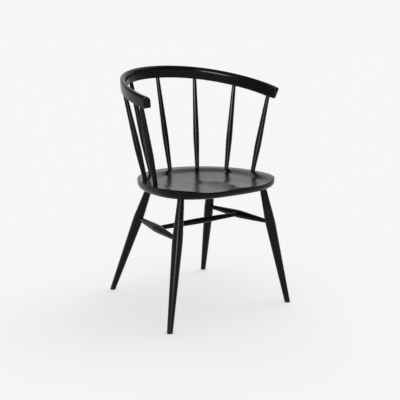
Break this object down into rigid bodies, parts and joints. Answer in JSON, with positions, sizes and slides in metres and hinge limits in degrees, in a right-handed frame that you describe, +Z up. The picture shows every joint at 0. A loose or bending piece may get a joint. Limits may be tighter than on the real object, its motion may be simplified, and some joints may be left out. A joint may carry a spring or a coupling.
{
  "type": "windsor armchair",
  "caption": "Low-back wooden armchair: saddled seat, splayed turned legs tied by stretchers, and turned spindles that carry a bent bow of arms and back rail in one.",
  "frame": {"origin": "on the floor, under the centre of the overall width and depth", "axes": "+Z up; the chair faces -Y; +X is the sitter's left, which is the right side seen from the front"},
  "size_m": [0.5114, 0.4846, 0.76],
  "materials": {
    "seat": "black satin lacquer",
    "bow": "black satin lacquer",
    "spindles": "black satin lacquer",
    "legs": "black satin lacquer",
    "stretchers": "black satin lacquer"
  },
  "bodies": {
    "root": {"seat": "seat", "bow": "bow", "spindle_back": "spindles", "spindle_rear_left": "spindles", "spindle_rear_right": "spindles", "spindle_side_left": "spindles", "spindle_side_right": "spindles", "spindle_arm_left": "spindles", "spindle_arm_right": "spindles", "leg_front_left": "legs", "leg_front_right": "legs", "leg_back_left": "legs", "leg_back_right": "legs", "stretcher_left": "stretchers", "stretcher_right": "stretchers", "stretcher_cross": "stretchers"}
  },
  "joints": []
}
